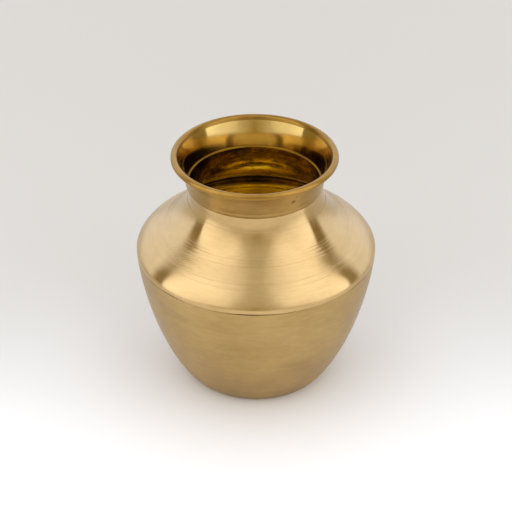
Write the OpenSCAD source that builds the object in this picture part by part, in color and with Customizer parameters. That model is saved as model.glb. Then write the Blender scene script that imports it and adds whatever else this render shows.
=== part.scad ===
// Brass kalash: a round-bellied water pot spun and beaten from sheet brass.
// Three thin shells are lapped and brazed: a bowl, a shoulder with a neck, and a flared mouth collar.
// The origin is the centre of the resting face, and +Z is up along the axis of the pot.

/* [Body] */
// Widest diameter, at the belly
belly_d = 145; // [135:1:160]
// Diameter of the flat that the pot stands on
base_d = 81; // [70:1:90]
// Height of the seam where the shoulder laps over the bowl
seam_h = 85; // [80:1:92]
// Thickness of the brass sheet
sheet = 1; // [0.7:0.1:1.2]

/* [Shoulder] */
// Radius of the rounded edge above the seam
edge_r = 4; // [3:0.5:5]
// Angle that the rounded edge turns through before the slope begins
edge_turn = 30; // [25:1:38]
// Inside diameter of the neck
throat_d = 78; // [70:1:84]

/* [Mouth] */
// Height from the resting face to the top of the rim
total_h = 150; // [145:1:160]
// Height of the mouth collar, from its foot to the top of the rim
collar_h = 20.5; // [18:0.5:24]
// Outer diameter of the rolled rim
rim_d = 98.8; // [92:0.2:106]
// Diameter of the wire inside the rolled rim
wire_d = 2; // [1.6:0.1:2.4]
// Lean of the flare just above its foot, measured from upright
flare_lean = 14.5; // [5:0.5:18]
// Slope of the flare where it meets the rim, measured from level
flare_slope = 66; // [45:1:68]
// Angle through which the sheet is rolled around the wire
roll_turn = 285; // [240:5:290]

/* [Hidden] */
$fn = 96;
CURVE_STEPS = 18;
ARC_STEPS = 8;
ROLL_STEPS = 24;
BRASS = [0.80, 0.66, 0.40];
SPELTER = [0.86, 0.74, 0.46];

belly_r = belly_d / 2;
throat_r = throat_d / 2;
neck_r = throat_r + sheet;

// Bowl: a rounded corner off the flat, then one long swelling curve up to the seam.
base_corner_r = 6;
base_slope = 52;
bowl_pull_low = 0.26 * seam_h;
bowl_pull_high = 0.33 * seam_h;
bowl_top_lean = 4.5;

// Shoulder: short skirt, rounded edge, sloping dome, then a hollow sweep up into the neck.
skirt_h = 1.8;
edge_start_h = seam_h + skirt_h;
neck_start_h = total_h - collar_h - 3.5;
shoulder_pull_low = 0.37 * (neck_start_h - edge_start_h);
shoulder_pull_high = 0.52 * (neck_start_h - edge_start_h);

// Seam: the bowl's edge steps inwards by one sheet and stands up inside the shoulder's skirt.
seam_gap = 0.3;
seam_step = 1.2 * sheet;
upstand_r = belly_r - sheet;

// Collar: its foot laps over the top of the neck, and its lip is rolled around a wire.
collar_foot_h = total_h - collar_h;
neck_lap = 2.5;
neck_top_h = collar_foot_h + neck_lap;
foot_edge = 0.45 * sheet;
foot_bevel_h = 1.6;
wire_r = wire_d / 2;
wire_clearance = 0.04;
roll_r = wire_r + sheet;
roll_centre = [rim_d / 2 - roll_r, total_h - roll_r];
roll_start = 90 + flare_slope;
flare_start_h = neck_top_h + 0.3;
flare_pull = 8;

// Braze: a small run of spelter in the inside corner of each lap.
braze_leg = 0.7;
braze_steps = 4;

// Point on a cubic curve from a to d that leaves towards b and arrives from c.
function cubic(a, b, c, d, t) =
    a * pow(1 - t, 3) + 3 * b * pow(1 - t, 2) * t + 3 * c * (1 - t) * t * t + d * pow(t, 3);

function curve(a, b, c, d) = [for (i = [0:CURVE_STEPS]) cubic(a, b, c, d, i / CURVE_STEPS)];

function ray(angle) = [cos(angle), sin(angle)];

// Points on an arc about a centre, from one angle to another.
function arc(centre, r, from, to, steps) =
    [for (i = [0:steps]) centre + r * ray(from + (to - from) * i / steps)];

// Joins two paths that share an end point.
function chain(first, second) = concat(first, [for (i = [1:len(second) - 1]) second[i]]);

function last(path) = path[len(path) - 1];

// Unit vector to the left of the path at point i.
function left_normal(path, i) =
    let (ahead = path[min(i + 1, len(path) - 1)], behind = path[max(i - 1, 0)])
    let (way = ahead - behind)
    [-way[1], way[0]] / norm(way);

// The same path moved sideways by one depth, to its left.
function shifted(path, depth) =
    [for (i = [0:len(path) - 1]) path[i] + depth * left_normal(path, i)];

function reversed(path) = [for (i = [len(path) - 1:-1:0]) path[i]];

// Outside of the bowl, from the edge of its flat up to the ledge under the shoulder's skirt.
function bowl_outside() =
    let (corner = arc([base_d / 2, base_corner_r], base_corner_r, -90, base_slope - 90, ARC_STEPS))
    let (low = last(corner), high = [belly_r, seam_h - seam_gap])
    chain(corner, curve(low, low + bowl_pull_low * ray(base_slope),
                        high - bowl_pull_high * ray(90 - bowl_top_lean), high));

// Outside of the shoulder, from the bottom of its skirt up to the top of its neck.
function shoulder_outside() =
    let (edge = arc([belly_r - edge_r, edge_start_h], edge_r, 0, edge_turn, ARC_STEPS))
    let (low = last(edge), high = [neck_r, neck_start_h])
    let (sweep = curve(low, low + shoulder_pull_low * ray(90 + edge_turn),
                       high - [0, shoulder_pull_high], high))
    concat([[belly_r, seam_h]], chain(edge, sweep), [[neck_r, neck_top_h]]);

// Polished side of the flare, from the collar's foot up to where the roll begins.
function flare_inside() =
    let (low = [neck_r, flare_start_h], high = roll_centre + roll_r * ray(roll_start))
    concat([[neck_r, collar_foot_h + foot_bevel_h]],
           curve(low, low + flare_pull * ray(90 - flare_lean),
                 high - flare_pull * ray(flare_slope), high));

module spin(outline) {
    rotate_extrude() polygon(outline);
}

module bowl() {
    wall = bowl_outside();
    ledge_h = seam_h - seam_gap;
    step_h = ledge_h - seam_step;
    color(BRASS)
        spin(concat(
            [[0, 0]],
            wall,
            [[upstand_r, ledge_h], [upstand_r, edge_start_h], [upstand_r - sheet, edge_start_h],
             [upstand_r - sheet, ledge_h], [upstand_r - seam_step * tan(bowl_top_lean), step_h]],
            [for (p = reversed(shifted(wall, sheet))) if (p[1] < step_h) p],
            [[0, sheet]]));
}

module shoulder() {
    wall = shoulder_outside();
    color(BRASS) spin(concat(wall, reversed(shifted(wall, sheet))));
}

module mouth_collar() {
    inside = flare_inside();
    roll_end = roll_start - roll_turn;
    color(BRASS)
        spin(concat(
            [[neck_r, collar_foot_h]],
            chain(inside, arc(roll_centre, roll_r, roll_start, roll_end, ROLL_STEPS)),
            arc(roll_centre, wire_r, roll_end, roll_start, ROLL_STEPS),
            [for (p = reversed(shifted(inside, -sheet))) if (norm(p - roll_centre) > roll_r) p],
            [[neck_r + foot_edge, collar_foot_h]]));
}

module rim_wire() {
    color(SPELTER)
        rotate_extrude()
            translate(roll_centre) circle(r = wire_r - wire_clearance, $fn = 32);
}

module belly_braze() {
    centre = [belly_r - edge_r, edge_start_h];
    side = arc(centre, edge_r - sheet, 0, braze_steps * edge_turn / ARC_STEPS, braze_steps);
    color(SPELTER) spin(concat(side, [[upstand_r - braze_leg, edge_start_h]]));
}

module neck_braze() {
    corner = [neck_r, neck_top_h];
    color(SPELTER) spin([corner, corner + [0, braze_leg], corner - [braze_leg, 0]]);
}

bowl();
shoulder();
mouth_collar();
rim_wire();
belly_braze();
neck_braze();
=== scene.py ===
import math

import bpy
from mathutils import Matrix, Vector, noise


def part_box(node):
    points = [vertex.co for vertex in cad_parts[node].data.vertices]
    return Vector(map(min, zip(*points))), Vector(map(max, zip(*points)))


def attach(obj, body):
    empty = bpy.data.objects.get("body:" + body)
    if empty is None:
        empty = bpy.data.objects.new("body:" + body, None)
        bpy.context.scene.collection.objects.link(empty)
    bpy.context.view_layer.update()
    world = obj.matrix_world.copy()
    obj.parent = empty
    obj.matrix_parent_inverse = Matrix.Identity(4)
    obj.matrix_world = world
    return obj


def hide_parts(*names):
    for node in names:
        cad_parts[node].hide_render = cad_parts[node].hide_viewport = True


# A brass kalash pot. Lengths are in metres and angles in degrees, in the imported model's own frame.

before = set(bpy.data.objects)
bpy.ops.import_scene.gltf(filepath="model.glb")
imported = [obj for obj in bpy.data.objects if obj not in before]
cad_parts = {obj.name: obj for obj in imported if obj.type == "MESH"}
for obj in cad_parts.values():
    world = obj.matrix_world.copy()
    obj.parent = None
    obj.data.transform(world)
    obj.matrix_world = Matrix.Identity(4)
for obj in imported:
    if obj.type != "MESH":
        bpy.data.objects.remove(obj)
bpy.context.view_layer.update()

MM = 0.001

# How finely the shapes are cut: faces round each turned piece, and steps along each kind of curve.
AROUND = 256
WALL_STEPS = 110
FLARE_STEPS = 48
ROLL_STEPS = 40
EYE_STEPS = 32
WIRE_STEPS = 24
CORNER_STEPS = 12
EDGE_STEPS = 8
FLAT_STEPS = 8
BRAZE_STEPS = 6
ROUND_STEPS = 4


# ---------------------------------------------------------------- sizes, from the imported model

def top(node):
    """Highest point of a CAD node."""
    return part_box(node)[1].z


def bottom(node):
    """Lowest point of a CAD node."""
    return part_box(node)[0].z


def reach(node):
    """Radius of a CAD node about the axis, taken where its facets reach least."""
    low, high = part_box(node)
    return min(-low.x, high.x, -low.y, high.y)


SHEET = 1.0 * MM
BELLY_R = reach("shoulder")
SEAM_H = bottom("shoulder")
SEAM_GAP = 0.35 * MM
EDGE_START_H = top("bowl")
NECK_R = reach("neck_braze")
NECK_TOP_H = top("shoulder")
FOOT_H = bottom("mouth_collar")
RIM_TOP_H = top("mouth_collar")
WIRE_H = (top("rim_wire") + bottom("rim_wire")) / 2
ROLL_R = RIM_TOP_H - WIRE_H
ROLL_CENTRE = Vector((reach("mouth_collar") - ROLL_R, WIRE_H))
WIRE_R = ROLL_R - SHEET

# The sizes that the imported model's boxes don't give. A pair of pulls says how far a wall's curve keeps its
# direction from the low end and from the high end, as shares of the rise.
BASE_FLAT_R = 40.5 * MM
BASE_CORNER_R = 6.0 * MM
BASE_SLOPE = 52.0
BOWL_TOP_LEAN = 4.5
BOWL_PULLS = (0.26, 0.33)
UPSTAND_STEP = 1.2 * SHEET
EDGE_R = 4.0 * MM
EDGE_TURN = 30.0
NECK_START_H = FOOT_H - 3.5 * MM
SHOULDER_PULLS = (0.37, 0.52)
FLARE_LEAN = 14.5
FLARE_SLOPE = 66.0
FLARE_PULL = 8 * MM
FLARE_START_H = NECK_TOP_H + 0.3 * MM
ROLL_TURN = 285.0
FOOT_EDGE = 0.45 * MM
FOOT_BEVEL_H = 1.6 * MM
WIRE_CLEARANCE = 0.04 * MM
BRAZE_LEG = 0.7 * MM

# Small rounds on the cut edges of each shell, and the least turn that counts as an edge.
BOWL_EDGE_ROUND = 0.2 * MM
SHOULDER_EDGE_ROUND = 0.25 * MM
COLLAR_EDGE_ROUND = 0.2 * MM
EDGE_LEAST_TURN = 24.0
ROUND_FULLNESS = 0.55

# Turning grooves that the lathe tool left: their section, as places across the width and shares of the depth,
# then where they are, and their width and depth.
GROOVE_SECTION = [(-0.5, 0), (-0.25, 0.7), (0, 1), (0.25, 0.7), (0.5, 0)]
NECK_RING = [119.9 * MM]
SHOULDER_RINGS = [96.6 * MM, 98.5 * MM, 103.4 * MM, 104.6 * MM, 106.0 * MM, 107.1 * MM, 108.3 * MM]
SHOULDER_GROOVE = (0.6 * MM, 0.065 * MM)
BOWL_RINGS = [10.5 * MM, 13.5 * MM, 17.0 * MM, 22.3 * MM, 31.0 * MM, 55.6 * MM, 73.0 * MM]
BOWL_GROOVE = (1.3 * MM, 0.04 * MM)
BASE_RINGS = [3.0 * MM, 12.0 * MM, 22.0 * MM, 33.0 * MM]
BASE_GROOVE = (1.0 * MM, 0.10 * MM)

# Hand work. Each kind of dent has a depth, a number round the pot, a height, and its own part of the noise.
# Then come the swelling on one side of the shoulder, and how far the collar sits off the axis.
DENTS = [(0.05 * MM, 1.3, 60 * MM, 0), (0.02 * MM, 5.0, 11 * MM, 7)]
SWELL = 1.3 * MM
SWELL_H = 113 * MM
SWELL_SPREAD = 9 * MM
COLLAR_SHIFT = -0.8 * MM
SHIFT_START_H = NECK_START_H - 4 * MM

# The seam: how far the skirt presses down on the ledge, stands open and wavers, as shares of the gap left for
# it, and how often it wavers. Then where it stands open: the direction, and the half-width of the stretch.
SEAM_PRESS = 0.6
SEAM_OPEN = 1.1
SEAM_WAVER = 0.35
SEAM_WAVES = 14
SEAM_OPENINGS = [(-92, 11), (-133, 8), (-34, 5), (20, 14), (96, 9), (152, 12), (-168, 7)]


# ---------------------------------------------------------------- outlines, as (radius, height) points

OUTWARD = 0
RISING = 1
SAME_POINT = 1e-6


def ray(angle):
    return Vector((math.cos(math.radians(angle)), math.sin(math.radians(angle))))


def arc(centre, radius, start, end, steps):
    """Points along an arc about a centre."""
    return [centre + radius * ray(start + (end - start) * i / steps) for i in range(steps + 1)]


def curve(a, b, c, d, steps):
    """Points along a cubic curve that leaves a towards b and arrives at d from c."""
    points = []
    for i in range(steps + 1):
        t = i / steps
        s = 1 - t
        points.append(a * s ** 3 + b * (3 * s * s * t) + c * (3 * s * t * t) + d * t ** 3)
    return points


def line(a, b, steps):
    return [a.lerp(b, i / steps) for i in range(steps + 1)]


def chain(*paths):
    """Joins paths end to end, keeping one of each pair of shared points."""
    joined = list(paths[0])
    for path in paths[1:]:
        first = 1 if (path[0] - joined[-1]).length < SAME_POINT else 0
        joined += path[first:]
    return joined


def shifted(path, depth):
    """The path moved sideways to its left by one depth."""
    moved = []
    for i, point in enumerate(path):
        way = (path[min(i + 1, len(path) - 1)] - path[max(i - 1, 0)]).normalized()
        moved.append(point + depth * Vector((-way.y, way.x)))
    return moved


def grooved(path, places, groove, axis):
    """The path with a shallow groove cut to its left wherever it rises, along one axis, past a place."""
    width, depth = groove
    cut = []
    for low, high in zip(path, path[1:]):
        cut.append(low)
        way = (high - low).normalized()
        left = Vector((-way.y, way.x))
        for place in places:
            if low[axis] < place <= high[axis]:
                centre = low.lerp(high, (place - low[axis]) / (high[axis] - low[axis]))
                for offset, share in GROOVE_SECTION:
                    cut.append(centre + way * offset * width + left * share * depth)
    cut.append(path[-1])
    return cut


def softened(path, radius, closed):
    """The path with each sharp corner cut back to a small round."""
    soft = []
    count = len(path)
    for i, point in enumerate(path):
        if not closed and i in (0, count - 1):
            soft.append(point)
            continue
        before = path[i - 1] - point
        after = path[(i + 1) % count] - point
        turn = math.pi - before.angle(after)
        if turn < math.radians(EDGE_LEAST_TURN):
            soft.append(point)
            continue
        cut = min(radius * math.tan(turn / 2), 0.45 * before.length, 0.45 * after.length)
        start = point + cut * before.normalized()
        end = point + cut * after.normalized()
        leaving = start.lerp(point, ROUND_FULLNESS)
        arriving = end.lerp(point, ROUND_FULLNESS)
        soft += curve(start, leaving, arriving, end, ROUND_STEPS)
    return soft


def bowl_outside():
    """From the edge of the resting flat up to the ledge under the shoulder's skirt."""
    corner_centre = Vector((BASE_FLAT_R, BASE_CORNER_R))
    corner = arc(corner_centre, BASE_CORNER_R, -90, BASE_SLOPE - 90, CORNER_STEPS)
    low = corner[-1]
    high = Vector((BELLY_R, SEAM_H - SEAM_GAP))
    leaving = BOWL_PULLS[0] * SEAM_H * ray(BASE_SLOPE)
    arriving = BOWL_PULLS[1] * SEAM_H * ray(90 - BOWL_TOP_LEAN)
    return chain(corner, curve(low, low + leaving, high - arriving, high, WALL_STEPS))


def bowl_outline():
    wall = bowl_outside()
    ledge_h = SEAM_H - SEAM_GAP
    inner_r = BELLY_R - 2 * SHEET
    upstand = [
        Vector((BELLY_R - SHEET, ledge_h)),
        Vector((BELLY_R - SHEET, EDGE_START_H)),
        Vector((inner_r, EDGE_START_H)),
        Vector((inner_r, ledge_h)),
    ]
    step_h = ledge_h - UPSTAND_STEP
    inside = [p for p in reversed(shifted(wall, SHEET)[::2]) if p.y < step_h]
    flat_under = line(Vector((0, 0)), wall[0], FLAT_STEPS)
    flat_inside = line(inside[-1], Vector((0, SHEET)), FLAT_STEPS)
    wall = grooved(wall, BOWL_RINGS, BOWL_GROOVE, RISING)
    flat_under = grooved(flat_under, BASE_RINGS, BASE_GROOVE, OUTWARD)
    outline = chain(flat_under, wall, upstand, inside, flat_inside)
    return softened(outline, BOWL_EDGE_ROUND, closed=False)


def shoulder_outside():
    """From the bottom of the skirt up to the top of the neck."""
    edge = arc(Vector((BELLY_R - EDGE_R, EDGE_START_H)), EDGE_R, 0, EDGE_TURN, EDGE_STEPS)
    low = edge[-1]
    high = Vector((NECK_R, NECK_START_H))
    rise = NECK_START_H - EDGE_START_H
    leaving = SHOULDER_PULLS[0] * rise * ray(90 + EDGE_TURN)
    arriving = SHOULDER_PULLS[1] * rise * ray(90)
    sweep = curve(low, low + leaving, high - arriving, high, WALL_STEPS)
    return chain([Vector((BELLY_R, SEAM_H))], edge, sweep, [Vector((NECK_R, NECK_TOP_H))])


def shoulder_outline():
    wall = shoulder_outside()
    inside = list(reversed(shifted(wall, SHEET)))
    wall = grooved(wall, SHOULDER_RINGS + NECK_RING, SHOULDER_GROOVE, RISING)
    return softened(chain(wall, inside), SHOULDER_EDGE_ROUND, closed=True)


def flare_inside():
    """From above the collar's foot up to where the roll begins."""
    low = Vector((NECK_R, FLARE_START_H))
    high = ROLL_CENTRE + ROLL_R * ray(90 + FLARE_SLOPE)
    leaving = FLARE_PULL * ray(90 - FLARE_LEAN)
    arriving = FLARE_PULL * ray(FLARE_SLOPE)
    sweep = curve(low, low + leaving, high - arriving, high, FLARE_STEPS)
    return chain([Vector((NECK_R, FOOT_H + FOOT_BEVEL_H))], sweep)


def collar_outline():
    inside = flare_inside()
    roll_start = 90 + FLARE_SLOPE
    roll_end = roll_start - ROLL_TURN
    outside = [p for p in reversed(shifted(inside, -SHEET)) if (p - ROLL_CENTRE).length > ROLL_R]
    outline = chain(
        [Vector((NECK_R, FOOT_H))],
        inside,
        arc(ROLL_CENTRE, ROLL_R, roll_start, roll_end, ROLL_STEPS),
        arc(ROLL_CENTRE, WIRE_R, roll_end, roll_start, EYE_STEPS),
        outside,
        [Vector((NECK_R + FOOT_EDGE, FOOT_H))],
    )
    return softened(outline, COLLAR_EDGE_ROUND, closed=True)


def wire_outline():
    turn = 360 / WIRE_STEPS
    return arc(ROLL_CENTRE, WIRE_R - WIRE_CLEARANCE, 0, 360 - turn, WIRE_STEPS - 1)


def braze_outline(corner):
    """A hollow-faced fillet in the corner above a ledge, its leg on the ledge pointing inwards."""
    rise = corner + Vector((0, BRAZE_LEG))
    run = corner - Vector((BRAZE_LEG, 0))
    face = curve(rise, rise.lerp(corner, 0.5), run.lerp(corner, 0.5), run, BRAZE_STEPS)
    return chain([corner], face)


# ---------------------------------------------------------------- turned pieces

ON_AXIS = 1e-7
SHARP_ANGLE = 40.0


def ramp(value, low, high):
    """Rises smoothly from 0 at low to 1 at high."""
    t = min(max((value - low) / (high - low), 0), 1)
    return t * t * (3 - 2 * t)


def hand_work(angle, radius, height):
    """How far outside a true circle the beaten sheet lies. Dents only go inwards."""
    around = Vector((math.cos(angle), math.sin(angle), 0))
    dents = 0.0
    for depth, number, tall, part in DENTS:
        place_in_noise = number * around + Vector((0, 0, part + height / tall))
        dents += depth * (1 + noise.noise(place_in_noise)) * radius / BELLY_R
    swell = SWELL * max(around.x, 0) * math.exp(-((height - SWELL_H) / SWELL_SPREAD) ** 2)
    shift = COLLAR_SHIFT * around.x * ramp(height, SHIFT_START_H, NECK_TOP_H)
    return swell + shift - dents


def seam_lift(angle):
    """How far the skirt's bottom lies above its drawn height: on the ledge, but for a few openings."""
    degrees = math.degrees(angle)
    lift = -SEAM_PRESS
    for centre, half in SEAM_OPENINGS:
        away = (degrees - centre + 180) % 360 - 180
        lift += SEAM_OPEN * math.exp(-(away / half) ** 2)
    uneven = noise.noise(Vector((SEAM_WAVES * math.cos(angle), SEAM_WAVES * math.sin(angle), 3)))
    return (lift + SEAM_WAVER * uneven) * SEAM_GAP


def spin(name, outline, closed, skirt_h=-1.0, tip_h=1.0):
    """A mesh made by turning an outline about the axis. An open outline starts and ends on the axis.
    Points below skirt_h follow the uneven seam. Faces take the first material up to the outline's highest
    point and the second from there on, but those above tip_h take the third."""
    verts = []
    rows = []
    for point in outline:
        row = len(verts)
        if point.x < ON_AXIS:
            verts.append((0, 0, point.y))
            rows.append([row] * AROUND)
            continue
        for i in range(AROUND):
            angle = 2 * math.pi * i / AROUND
            radius = point.x + hand_work(angle, point.x, point.y)
            height = point.y + (seam_lift(angle) if point.y < skirt_h else 0)
            verts.append((radius * math.cos(angle), radius * math.sin(angle), height))
        rows.append(list(range(row, row + AROUND)))
    faces = []
    for j in range(len(rows) if closed else len(rows) - 1):
        low = rows[j]
        high = rows[(j + 1) % len(rows)]
        for i in range(AROUND):
            k = (i + 1) % AROUND
            corners = (low[i], low[k], high[k], high[i])
            faces.append(tuple(dict.fromkeys(corners)))
    mesh = bpy.data.meshes.new(name)
    mesh.from_pydata(verts, [], faces)
    peak = max(range(len(outline)), key=lambda j: outline[j].y)
    for face in mesh.polygons:
        side = 0 if face.index // AROUND < peak else 1
        face.material_index = 2 if face.center.z > tip_h else side
    mesh.validate()
    mesh.shade_smooth()
    mesh.set_sharp_from_angle(angle=math.radians(SHARP_ANGLE))
    piece = bpy.data.objects.new(name, mesh)
    bpy.context.scene.collection.objects.link(piece)
    return piece


def place(piece, materials, slot, *nodes):
    """Gives a piece its materials, in the order that spin describes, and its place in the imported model."""
    for material in materials:
        piece.data.materials.append(material)
    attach(piece, "root")
    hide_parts(*nodes)


# ---------------------------------------------------------------- brass

class Nodes:
    """Short-hand for building the node tree of a material or a world."""

    def __init__(self, owner):
        owner.use_nodes = True
        self.owner = owner
        self.tree = owner.node_tree
        self.tree.nodes.clear()

    def add(self, kind, **settings):
        node = self.tree.nodes.new(kind)
        for key, value in settings.items():
            setattr(node, key, value)
        return node

    def link(self, output, socket):
        self.tree.links.new(output, socket)

    def feed(self, value, socket):
        """Links an output to a socket, or sets the socket to a number."""
        if isinstance(value, bpy.types.NodeSocket):
            self.link(value, socket)
        else:
            socket.default_value = value

    def math(self, operation, a, b=0.0):
        node = self.add("ShaderNodeMath", operation=operation)
        self.feed(a, node.inputs[0])
        self.feed(b, node.inputs[1])
        return node.outputs[0]

    def total(self, parts):
        """The sum of outputs, each times its weight."""
        whole = 0.0
        for value, weight in parts:
            whole = self.math("ADD", whole, self.math("MULTIPLY", value, weight))
        return whole

    def noise(self, vector, scale, detail, rough):
        node = self.add("ShaderNodeTexNoise")
        self.link(vector, node.inputs["Vector"])
        node.inputs["Scale"].default_value = scale
        node.inputs["Detail"].default_value = detail
        node.inputs["Roughness"].default_value = rough
        return node.outputs["Fac"]

    def remap(self, value, low, high, to_low=0.0, to_high=1.0):
        node = self.add("ShaderNodeMapRange")
        self.feed(value, node.inputs["Value"])
        node.inputs["From Min"].default_value = low
        node.inputs["From Max"].default_value = high
        node.inputs["To Min"].default_value = to_low
        node.inputs["To Max"].default_value = to_high
        return node.outputs["Result"]

    def mix(self, factor, a, b):
        node = self.add("ShaderNodeMix", data_type="RGBA")
        self.feed(factor, node.inputs["Factor"])
        self.feed(a, node.inputs[6])
        self.feed(b, node.inputs[7])
        return node.outputs[2]


def turned_coordinates(n, position, rises):
    """Coordinates for rings: the direction round the axis, the distance along the profile, and the height.
    rises says how the radius changes as the profile climbs: -1 inwards, +1 outwards. Inside the resting flat
    the direction shrinks towards the axis, so that nothing gathers into a star there."""
    split = n.add("ShaderNodeSeparateXYZ")
    n.link(position, split.inputs[0])
    x, y, z = split.outputs
    radius = n.math("SQRT", n.math("ADD", n.math("MULTIPLY", x, x), n.math("MULTIPLY", y, y)))
    along = n.math("ADD", z, n.math("MULTIPLY", radius, rises))
    turning = n.math("MAXIMUM", radius, BASE_FLAT_R)
    return n.math("DIVIDE", x, turning), n.math("DIVIDE", y, turning), along, z


def rings(n, turned, around, per_metre, detail, rough):
    """Noise drawn out into rings. A higher around breaks the rings into shorter dashes."""
    cos, sin, along, z = turned
    at = n.add("ShaderNodeCombineXYZ")
    n.link(n.math("MULTIPLY", cos, around), at.inputs[0])
    n.link(n.math("MULTIPLY", sin, around), at.inputs[1])
    n.link(n.math("MULTIPLY", along, per_metre), at.inputs[2])
    return n.noise(at.outputs[0], 1.0, detail, rough)


def crossed_scratches(n, turned, patches):
    """Thin scratches that climb the profile both ways, in patches, as a hand-held abrasive leaves them."""
    cos, sin, along, z = turned
    angle = n.math("ARCTAN2", sin, cos)
    both = 0.0
    for turns in (-SCRATCH_TURNS, SCRATCH_TURNS):
        wave = n.math("SINE", n.total([(angle, turns), (along, SCRATCH_CLIMB)]))
        both = n.math("ADD", both, n.remap(wave, SCRATCH_CREST, 1.0))
    low, high = SCRATCHED_BAND
    above = n.remap(z, low - SCRATCH_FADE, low + SCRATCH_FADE)
    below = n.remap(z, high - SCRATCH_FADE, high + SCRATCH_FADE, 1.0, 0.0)
    in_band = n.math("MULTIPLY", above, below)
    return n.math("MULTIPLY", n.math("MULTIPLY", both, in_band), n.remap(patches, *SCRATCHED_PATCHES))


def spot(n, position, centre, size, ragged):
    """A mask for one small mark with a ragged edge, at a place given as radius, height and direction."""
    radius, height, direction = centre
    away = n.add("ShaderNodeVectorMath", operation="DISTANCE")
    n.link(position, away.inputs[0])
    away.inputs[1].default_value = (*(radius * ray(direction)), height)
    distance = n.math("ADD", away.outputs["Value"], n.math("MULTIPLY", ragged, size))
    return n.remap(distance, SPOT_EDGE[0] * size, SPOT_EDGE[1] * size, 1.0, 0.0)


def brass_colour(n, finish, position, tone, spots):
    """From dull to bright as the tone rises, with tarnish in the specks and the marks."""
    polish = n.remap(tone, 0.5 - finish["patchy"], 0.5 + finish["patchy"])
    colour = n.mix(polish, (*finish["dull"], 1), (*finish["bright"], 1))
    tarnish = (*(TARNISH_SHADE * Vector(finish["dull"])), 1)
    specks = n.noise(position, *SPECKS)
    colour = n.mix(n.remap(specks, *SPECK_RANGE, 0.0, SPECK_STRENGTH), colour, tarnish)
    ragged = n.noise(position, *RAGGED)
    for centre, size, strength in spots:
        mask = spot(n, position, centre, size, ragged)
        colour = n.mix(n.math("MULTIPLY", mask, strength), colour, tarnish)
    return colour


def brass_roughness(n, even, clouds, bands):
    """A roughness that swings about an even value with the clouds and the bands."""
    swing = ROUGHNESS_SWING * even
    cloudy = n.remap(clouds, *NOISE_RANGE, even - swing, even + swing)
    return n.math("ADD", cloudy, n.remap(bands, *NOISE_RANGE, -swing, swing))


def brass_normal(n, strength, relief):
    """The normal bent by the relief, which is a list of outputs and weights."""
    bump = n.add("ShaderNodeBump")
    bump.inputs["Strength"].default_value = strength
    bump.inputs["Distance"].default_value = RELIEF_UNIT
    n.link(n.total(relief), bump.inputs["Height"])
    return bump.outputs["Normal"]


def brass(name, finish, rises, spots=(), scratched=False):
    """Lathe-turned brass, with rings, clouds, specks and any marks or scratches."""
    n = Nodes(bpy.data.materials.new(name))
    position = n.add("ShaderNodeTexCoord").outputs["Object"]
    turned = turned_coordinates(n, position, rises)
    fine = rings(n, turned, *FINE_RINGS)
    bands = rings(n, turned, *BANDS)
    dashes = rings(n, turned, *DASHES)
    clouds = n.noise(position, *CLOUDS)

    tone = n.total([(clouds, 0.45), (bands, 0.30), (dashes, 0.25)])
    relief = [(fine, 1.0), (bands, 2.0), (dashes, finish["dashes"])]
    if scratched:
        relief.append((crossed_scratches(n, turned, clouds), -SCRATCH_DEPTH))

    tangent = n.add("ShaderNodeTangent", direction_type="RADIAL", axis="Z")
    shader = n.add("ShaderNodeBsdfPrincipled")
    shader.inputs["Metallic"].default_value = 1.0
    shader.inputs["Anisotropic"].default_value = finish["brushed"]
    shader.inputs["Anisotropic Rotation"].default_value = QUARTER_TURN
    n.link(brass_colour(n, finish, position, tone, spots), shader.inputs["Base Color"])
    n.link(brass_roughness(n, finish["roughness"], clouds, bands), shader.inputs["Roughness"])
    n.link(brass_normal(n, finish["bump"], relief), shader.inputs["Normal"])
    n.link(tangent.outputs[0], shader.inputs["Tangent"])
    output = n.add("ShaderNodeOutputMaterial")
    n.link(shader.outputs[0], output.inputs["Surface"])
    return n.owner


# ---------------------------------------------------------------- the pot

# Crossed scratches on the shoulder: how many there are round the pot, how fast they climb, the part of each
# wave that is the scratch, how deep it is beside the rings, and the heights and cloudy patches that hold them.
SCRATCH_TURNS = 150
SCRATCH_CLIMB = 2600.0
SCRATCH_CREST = 0.80
SCRATCH_DEPTH = 3.5
SCRATCHED_BAND = (98.5 * MM, 104.5 * MM)
SCRATCH_FADE = 1.0 * MM
SCRATCHED_PATCHES = (0.40, 0.50)

# Noise drawn out into rings: how often it changes round the pot and per metre of profile, its detail and its
# roughness. Then noise the same in every direction: its scale, detail and roughness.
FINE_RINGS = (1.2, 1500.0, 4.0, 0.7)
BANDS = (0.8, 160.0, 3.0, 0.6)
DASHES = (9.0, 420.0, 3.0, 0.6)
CLOUDS = (38.0, 4.0, 0.55)
SPECKS = (900.0, 2.0, 0.5)
RAGGED = (700.0, 3.0, 0.6)

# What all the finishes share: the turn that sets the brushing round the pot, the depth of one unit of relief,
# the part of a noise that is put to use, how far the roughness swings either way, the shade of tarnish, where
# specks show and how strongly, and where a mark's edge fades, as shares of its size.
QUARTER_TURN = 0.25
RELIEF_UNIT = 0.02 * MM
NOISE_RANGE = (0.3, 0.7)
ROUGHNESS_SWING = 0.15
TARNISH_SHADE = 0.45
SPECK_RANGE = (0.70, 0.80)
SPECK_STRENGTH = 0.35
SPOT_EDGE = (0.9, 1.3)

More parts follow.
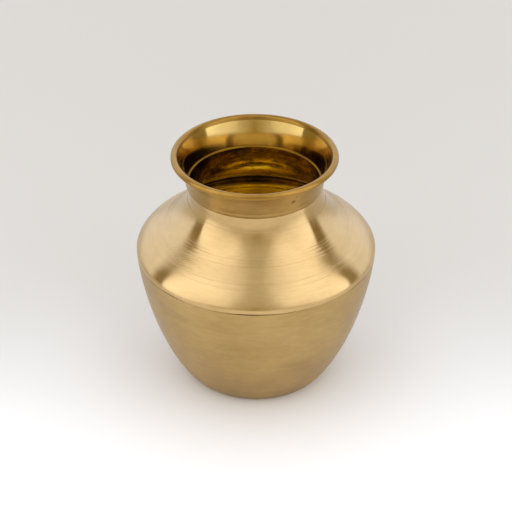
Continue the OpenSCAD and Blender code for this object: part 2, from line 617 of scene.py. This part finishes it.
# Finishes. The tone moves from dull to bright, and a lower patchy makes it do so more suddenly. brushed is how
# much more sharply the metal mirrors one way than the other. bump is the strength of the whole relief, and
# dashes is the share of short marks in it.
SATIN = {"bright": (0.500, 0.340, 0.138), "dull": (0.395, 0.260, 0.096), "patchy": 0.11,
         "roughness": 0.36, "brushed": 0.5, "bump": 0.34, "dashes": 1.2}
BURNISHED = {"bright": (0.59, 0.405, 0.18), "dull": (0.52, 0.35, 0.145), "patchy": 0.10,
             "roughness": 0.20, "brushed": 1.0, "bump": 0.30, "dashes": 0.5}
NECK = {"bright": (0.47, 0.310, 0.105), "dull": (0.39, 0.250, 0.078), "patchy": 0.10,
        "roughness": 0.32, "brushed": 0.6, "bump": 0.10, "dashes": 0.5}
RIM = {"bright": (0.37, 0.205, 0.045), "dull": (0.28, 0.150, 0.025), "patchy": 0.08,
       "roughness": 0.30, "brushed": 0.3, "bump": 0.30, "dashes": 1.0}
POLISHED = {"bright": (0.61, 0.425, 0.142), "dull": (0.54, 0.365, 0.112), "patchy": 0.10,
            "roughness": 0.12, "brushed": 0.6, "bump": 0.15, "dashes": 0.3}
# Inside the shoulder: the near-black dull is painted shade inside the pot; the bright is the brass.
PAINTED_SHADE_INSIDE = {"bright": (0.76, 0.53, 0.08), "dull": (0.10, 0.060, 0.003), "patchy": 0.05,
           "roughness": 0.10, "brushed": 0.5, "bump": 0.5, "dashes": 3.0}
# Inside the bowl: brass far brighter than the bowl's outside, painted light standing in for the light that
# falls into the pot; its strong relief is the unpolished finish.
UNPOLISHED_PAINTED_LIGHT = {"bright": (0.98, 0.77, 0.16), "dull": (0.66, 0.48, 0.06), "patchy": 0.05,
              "roughness": 0.24, "brushed": 0.3, "bump": 0.8, "dashes": 2.0}
SPELTER = {"bright": (0.28, 0.150, 0.015), "dull": (0.22, 0.115, 0.010), "patchy": 0.10,
           "roughness": 0.35, "brushed": 0.0, "bump": 0.4, "dashes": 2.0}

# Marks: the radius, height and direction of each, its size and its strength.
flare_pit = ((41.6 * MM, 138.7 * MM, 64.7), 0.7 * MM, 0.9)
neck_stain = ((42.6 * MM, 138.5 * MM, -59.6), 2.2 * MM, 0.85)
neck_smear = ((43.6 * MM, 141.9 * MM, -58.1), 1.4 * MM, 0.6)

bowl_brass = brass("bowl_brass", SATIN, 0.5)
shoulder_brass = brass("shoulder_brass", BURNISHED, -1.0, scratched=True)
flare_brass = brass("flare_brass", POLISHED, 1.0, spots=[flare_pit])
neck_brass = brass("neck_brass", NECK, 1.0, spots=[neck_stain, neck_smear])
rim_brass = brass("rim_brass", RIM, 1.0)
# The bowl's inside takes a brighter brass as painted light.
bowl_inside = brass("bowl_inside", UNPOLISHED_PAINTED_LIGHT, 0.5)
# The shoulder's inside takes near-black patches of painted shade.
shoulder_inside = brass("shoulder_inside", PAINTED_SHADE_INSIDE, -1.0)
spelter = brass("spelter", SPELTER, 1.0)

bowl = spin("bowl_shell", bowl_outline(), closed=False)
place(bowl, [bowl_brass, bowl_inside], "bowl_brass", "bowl")

shoulder = spin("shoulder_shell", shoulder_outline(), closed=True,
                skirt_h=SEAM_H + 0.5 * MM, tip_h=NECK_TOP_H - 0.4 * MM)
place(shoulder, [shoulder_brass, shoulder_inside, spelter], "shoulder_brass", "shoulder")

collar = spin("mouth_flare", collar_outline(), closed=True, tip_h=WIRE_H - 0.5 * MM)
place(collar, [flare_brass, neck_brass, rim_brass], "collar_brass", "mouth_collar")

wire = spin("lip_wire", wire_outline(), closed=True)
place(wire, [neck_brass, neck_brass], "wire_brass", "rim_wire")

belly_corner = Vector((BELLY_R - SHEET, EDGE_START_H))
belly_fillet = spin("belly_fillet", braze_outline(belly_corner), closed=True)
place(belly_fillet, [spelter, spelter], "spelter", "belly_braze")

neck_corner = Vector((NECK_R, NECK_TOP_H))
neck_fillet = spin("neck_fillet", braze_outline(neck_corner), closed=True)
place(neck_fillet, [spelter, spelter], "spelter", "neck_braze")


# ---------------------------------------------------------------- studio

def floor_white():
    n = Nodes(bpy.data.materials.new("floor_white"))
    shader = n.add("ShaderNodeBsdfPrincipled")
    shader.inputs["Base Color"].default_value = (*FLOOR_COLOUR, 1)
    shader.inputs["Roughness"].default_value = FLOOR_ROUGHNESS
    shader.inputs["Specular IOR Level"].default_value = FLOOR_SHINE
    output = n.add("ShaderNodeOutputMaterial")
    n.link(shader.outputs[0], output.inputs["Surface"])
    return n.owner


def floor():
    half = FLOOR_SIZE / 2
    corners = [(-half, -half, 0), (half, -half, 0), (half, half, 0), (-half, half, 0)]
    mesh = bpy.data.meshes.new("floor")
    mesh.from_pydata(corners, [], [(0, 1, 2, 3)])
    mesh.materials.append(floor_white())
    obj = bpy.data.objects.new("floor", mesh)
    bpy.context.scene.collection.objects.link(obj)


def side_panel(side):
    """A tall white diffuser close beside the pot, leaning in over it and a little back."""
    lean_in = math.radians(PANEL_LEAN_IN)
    lean_back = math.radians(PANEL_LEAN_BACK)
    away = Vector((side * math.cos(lean_in), 0, math.sin(lean_in)))
    upright = Vector((-side * math.sin(lean_in), 0, math.cos(lean_in)))
    up = upright * math.cos(lean_back) + Vector((0, math.sin(lean_back), 0))
    across = up.cross(away)
    forward = -across if across.y > 0 else across
    foot = Vector((side * PANEL_X, PANEL_REAR_Y, PANEL_LIFT)) + forward * PANEL_LENGTH / 2
    data = bpy.data.lights.new("side_panel", "AREA")
    data.shape = "RECTANGLE"
    data.size = PANEL_LENGTH
    data.size_y = PANEL_HEIGHT
    data.energy = PANEL_POWER
    data.color = PANEL_COLOUR
    data.spread = math.radians(PANEL_SPREAD)
    light = bpy.data.objects.new("side_panel", data)
    turn = Matrix((across, up, away)).transposed().to_4x4()
    light.matrix_world = Matrix.Translation(foot + up * PANEL_HEIGHT / 2) @ turn
    light.visible_camera = False
    bpy.context.scene.collection.objects.link(light)


def surroundings():
    """White paper behind, a dim room in front, and a dark opening on each side between the two.
    The camera itself sees only a plain pale backdrop. All edges are parts of a unit direction."""
    n = Nodes(bpy.data.worlds.new("surroundings"))
    split = n.add("ShaderNodeSeparateXYZ")
    n.link(n.add("ShaderNodeTexCoord").outputs["Generated"], split.inputs[0])
    x, y, z = split.outputs
    aside = n.math("ABSOLUTE", x)
    room = n.mix(n.remap(aside, 0.0, OPENING_EDGE[0]), ROOM_FRONT, ROOM_SIDE)
    room = n.mix(n.remap(z, *ROOM_LIGHTENS), room, ROOM_TOP)
    opening = n.mix(n.remap(aside, *OPENING_EDGE), room, ROOM_DARK)
    rearward = n.total([(y, 1.0), (z, -PAPER_RAKE)])
    walls = n.mix(n.remap(rearward, *PAPER_EDGE), opening, ROOM_BACK)
    reflected = n.mix(n.remap(z, *CEILING_EDGE), walls, ROOM_TOP)
    colour = n.mix(n.add("ShaderNodeLightPath").outputs["Is Camera Ray"], reflected, BACKDROP)
    background = n.add("ShaderNodeBackground")
    n.link(colour, background.inputs["Color"])
    n.link(background.outputs[0], n.add("ShaderNodeOutputWorld").inputs["Surface"])
    bpy.context.scene.world = n.owner


def camera():
    """A long lens looking down on the pot from the front."""
    tilt = math.radians(CAMERA_TILT)
    data = bpy.data.cameras.new("camera")
    data.sensor_width = SENSOR_MM
    data.lens = LENS_MM
    obj = bpy.data.objects.new("camera", data)
    obj.location = (0, -CAMERA_DISTANCE * math.cos(tilt), AIM_H + CAMERA_DISTANCE * math.sin(tilt))
    obj.rotation_euler = (math.pi / 2 - tilt, 0, 0)
    bpy.context.scene.collection.objects.link(obj)
    bpy.context.scene.camera = obj


# Side panels: where the foot's rear end stands, the size, how far each leans, and the light.
PANEL_X = 0.29
PANEL_LIFT = 0.02
PANEL_REAR_Y = -0.055
PANEL_LENGTH = 0.55
PANEL_HEIGHT = 0.60
PANEL_LEAN_IN = 25.0
PANEL_LEAN_BACK = 8.0
PANEL_SPREAD = 125.0
PANEL_POWER = 0.86
PANEL_COLOUR = (0.92, 1.0, 1.22)

# Surroundings: how far aside the openings start and are darkest, the heights over which the room lightens,
# where the paper behind starts and is whitest, how far that moves back with height, where the ceiling comes in,
# and the colours.
OPENING_EDGE = (0.42, 0.75)
ROOM_LIGHTENS = (0.22, 0.85)
PAPER_EDGE = (0.17, 0.30)
PAPER_RAKE = 0.17
CEILING_EDGE = (0.72, 0.9)
ROOM_FRONT = (0.46, 0.36, 0.13, 1)
ROOM_SIDE = (0.92, 0.88, 0.80, 1)
ROOM_TOP = (0.88, 0.87, 0.85, 1)
ROOM_DARK = (0.38, 0.31, 0.16, 1)
ROOM_BACK = (1.27, 1.38, 1.68, 1)
BACKDROP = (0.71, 0.69, 0.66, 1)

FLOOR_SIZE = 8.0
FLOOR_COLOUR = (0.84, 0.81, 0.75)
FLOOR_ROUGHNESS = 0.7
FLOOR_SHINE = 0.1

# Camera: how far it looks down, its distance from the point on the axis that it aims at, and its lens.
CAMERA_TILT = 33.56
CAMERA_DISTANCE = 0.918
AIM_H = 0.0774
SENSOR_MM = 36.0
LENS_MM = 105.5

floor()
surroundings()
side_panel(-1)
side_panel(1)
camera()
bpy.context.scene.view_settings.view_transform = "Standard"
